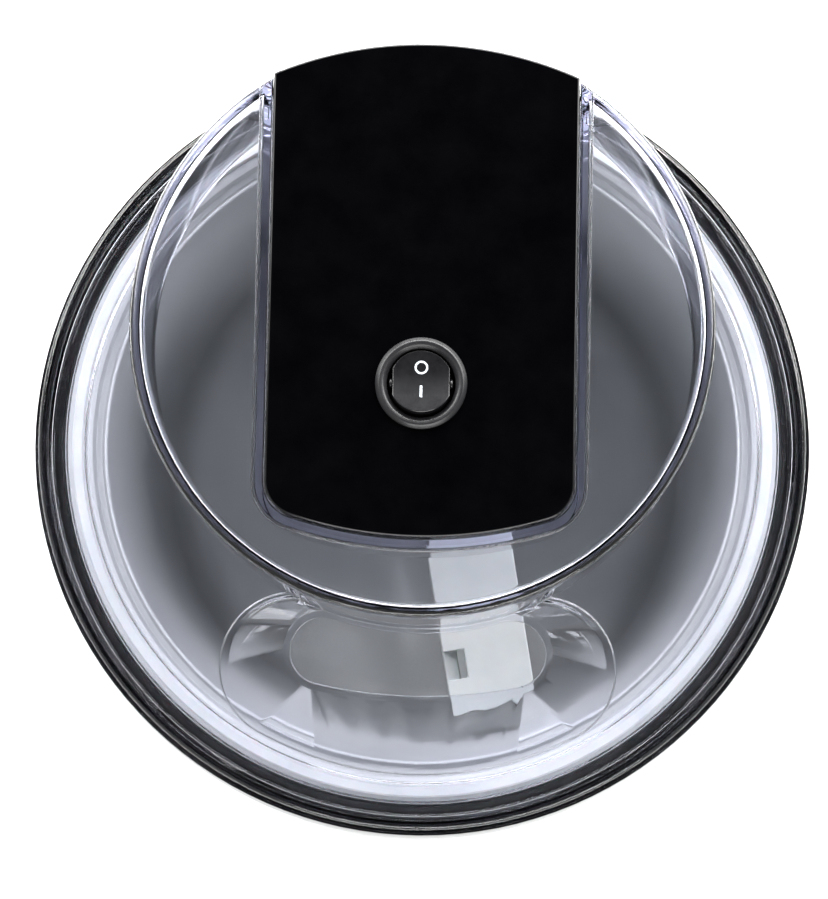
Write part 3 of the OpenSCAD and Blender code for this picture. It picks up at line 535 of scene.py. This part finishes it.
def laid_on(piece, ground):
    """Drops a flat mark on to the surface below it and gives it the thickness of printed ink."""
    activate(piece)
    drop = piece.modifiers.new("drop", "SHRINKWRAP")
    drop.target = ground
    drop.wrap_method = "PROJECT"
    drop.use_project_z = True
    drop.use_negative_direction, drop.use_positive_direction = True, False
    drop.offset = INK_GAP * MM
    bpy.ops.object.modifier_apply(modifier=drop.name)
    ink_coat = piece.modifiers.new("ink coat", "SOLIDIFY")
    ink_coat.thickness = INK_THICK * MM
    ink_coat.offset = 1.0
    bpy.ops.object.modifier_apply(modifier=ink_coat.name)
    piece.data.materials.append(ink)
    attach(piece, "rocker")
    return piece


def switch_marks(button):
    """Ring for off on the rocker's back half and bar for on on its front half."""
    deselect()
    ring_r, ring_in_r, ring_back = 1.7, 1.2, 3.9
    bar_wide, bar_long, bar_front = 0.62, 3.0, 2.2
    ring_place = (0, (switch_y + ring_back) * MM, DROP_FROM * MM)
    bpy.ops.mesh.primitive_circle_add(vertices=64, radius=ring_r * MM, location=ring_place)
    off = named(bpy.context.object, "mark_off")
    bpy.ops.object.transform_apply(location=True, rotation=False, scale=False)
    bpy.ops.object.mode_set(mode="EDIT")
    bpy.ops.mesh.select_all(action="SELECT")
    bpy.ops.mesh.edge_face_add()
    bpy.ops.mesh.inset(thickness=(ring_r - ring_in_r) * MM)
    bpy.ops.mesh.delete(type="FACE")
    bpy.ops.object.mode_set(mode="OBJECT")
    laid_on(off, button)
    deselect()
    bar_place = (0, (switch_y - bar_front) * MM, DROP_FROM * MM)
    bpy.ops.mesh.primitive_plane_add(size=1, location=bar_place)
    on = named(bpy.context.object, "mark_on")
    bpy.ops.transform.resize(value=(bar_wide * MM, bar_long * MM, 1))
    bpy.ops.object.transform_apply(location=True, rotation=False, scale=True)
    bpy.ops.object.mode_set(mode="EDIT")
    bpy.ops.mesh.select_all(action="SELECT")
    bpy.ops.mesh.subdivide(number_cuts=6)
    bpy.ops.object.mode_set(mode="OBJECT")
    laid_on(on, button)


softened("clear_lid", "lid", "lid", 0.4, 3)
softened("housing_shell", "housing", "base", 0.45, 3)
freezer_bowl_liner()
softened("paddle_blades", "paddle", "paddle", 0.5)
softened("switch_ring", "switch_bezel", "motor_unit", 0.25)
cover_shell()
switch_marks(softened("rocker_button", "switch_rocker", "rocker", 0.35, 3))


# ------------------------------------------------------------------ floor, lights and camera

floor_material, floor_tree, floor_shader, floor_place = finish("matt white board", Roughness=0.9)
floor_tree.links.new(shade(floor_tree, noise(floor_tree, floor_place, 60, 2), "#fbfbfb", "#ffffff"),
                     floor_shader.inputs["Base Color"])
deselect()
bpy.ops.mesh.primitive_plane_add(size=6.0, location=(0, 0, 0))
floor = bpy.context.object
floor.name = "floor"
floor.data.materials.append(floor_material)


def softbox(name, at, wide, high, power):
    """Rectangular white lamp at a point, turned to face the machine."""
    lamp = bpy.data.lights.new(name, "AREA")
    lamp.shape = "RECTANGLE"
    lamp.size, lamp.size_y = wide, high
    lamp.energy = power
    holder = bpy.data.objects.new(name, lamp)
    bpy.context.scene.collection.objects.link(holder)
    holder.location = at
    holder.rotation_euler = (LIT_POINT - Vector(at)).to_track_quat("-Z", "Y").to_euler()


LIT_POINT = Vector((0, 0, 0.1))
softbox("right softbox", (1.0, 0.75, 0.9), 1.1, 1.2, 34)
softbox("left softbox", (-1.0, 0.75, 0.85), 0.9, 1.2, 25)
softbox("back softbox", (0.1, 1.35, 0.8), 1.6, 0.8, 55)
softbox("front softbox", (0.2, -1.35, 0.75), 1.5, 0.7, 20)

world = bpy.data.worlds.new("pale room")
bpy.context.scene.world = world
world.use_nodes = True
room_tree = world.node_tree
room = room_tree.nodes["Background"]
# Pale room with a dark patch straight above, which the gloss cover mirrors
height = add(room_tree, "ShaderNodeSeparateXYZ",
             {"Vector": add(room_tree, "ShaderNodeTexCoord").outputs["Generated"]}).outputs["Z"]
glow = spread(room_tree, height, 0.68, 0.0, 0.9, 0.968)
room_tree.links.new(glow, room.inputs["Strength"])
room.inputs["Color"].default_value = srgb("#f2f3f4")

scene = bpy.context.scene
scene.view_settings.view_transform = "Standard"
scene.cycles.transmission_bounces = scene.cycles.max_bounces = 16  # the clear lid has many walls
scene.cycles.transparent_max_bounces = 48
scene.cycles.caustics_refractive = False
scene.cycles.caustics_reflective = False

# The camera looks nearly straight down from a little in front, turned slightly
IMAGE_W = 828  # the unit in which focus and aim are given
TILT, LEAN, ROLL = math.radians(5.4), math.radians(0.6), math.radians(1.1)
DISTANCE = 0.688
FOCUS = 2536 / IMAGE_W
look = Vector((-math.sin(LEAN), math.sin(TILT) * math.cos(LEAN), -math.cos(TILT) * math.cos(LEAN)))
side = look.cross(Vector((0, 1, 0))).normalized()
up_level = side.cross(look)
right = side * math.cos(ROLL) + up_level * math.sin(ROLL)
up = up_level * math.cos(ROLL) - side * math.sin(ROLL)
aim_x, aim_y = 7.7 / IMAGE_W, 5.0 / IMAGE_W
RIM_CENTRE = Vector((0, 0, 0.152))
SENSOR = 36.0
eye = (RIM_CENTRE - look * DISTANCE - right * (aim_x / FOCUS * DISTANCE)
       - up * (aim_y / FOCUS * DISTANCE))
camera_data = bpy.data.cameras.new("camera")
camera_data.sensor_fit = "HORIZONTAL"
camera_data.sensor_width = SENSOR
camera_data.lens = SENSOR * FOCUS
camera_data.clip_start, camera_data.clip_end = 0.05, 20.0
camera = bpy.data.objects.new("camera", camera_data)
scene.collection.objects.link(camera)
turn = Matrix((right, up, -look)).transposed().to_4x4()
camera.matrix_world = Matrix.Translation(eye) @ turn
scene.camera = camera
